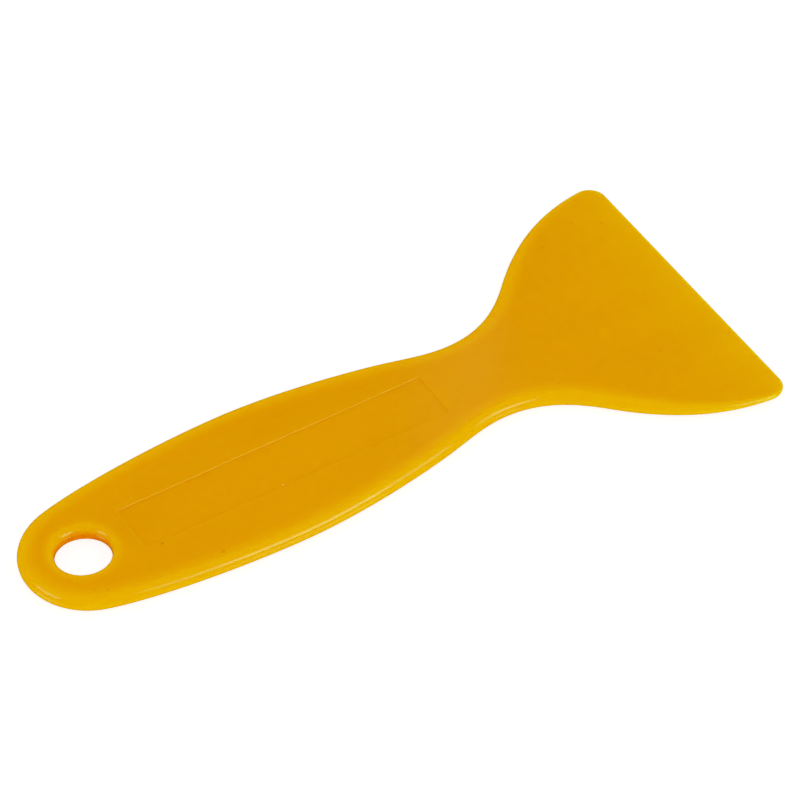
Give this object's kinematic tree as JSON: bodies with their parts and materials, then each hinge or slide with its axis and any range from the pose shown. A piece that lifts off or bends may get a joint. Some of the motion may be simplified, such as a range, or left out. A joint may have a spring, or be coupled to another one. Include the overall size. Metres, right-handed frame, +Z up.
{
  "type": "windshield ice scraper",
  "caption": "Flat moulded plastic hand scraper with a contoured handle, a hang hole, a narrow neck and a flared straight-edged blade for clearing ice and frost.",
  "frame": {"origin": "middle of the bounding box in X and Y, at the height of the flat underside that the scraper rests on", "axes": "+X along the handle towards the scraping edge, +Y across the blade, +Z up through the thickness, out of the face with the sunk panel"},
  "size_m": [0.17, 0.0796, 0.0042],
  "materials": {
    "yellow_plastic": "satin to glossy moulded polypropylene, slightly translucent, faint flow and handling marks"
  },
  "bodies": {
    "root": {"scraper_body": "yellow_plastic"}
  },
  "joints": []
}
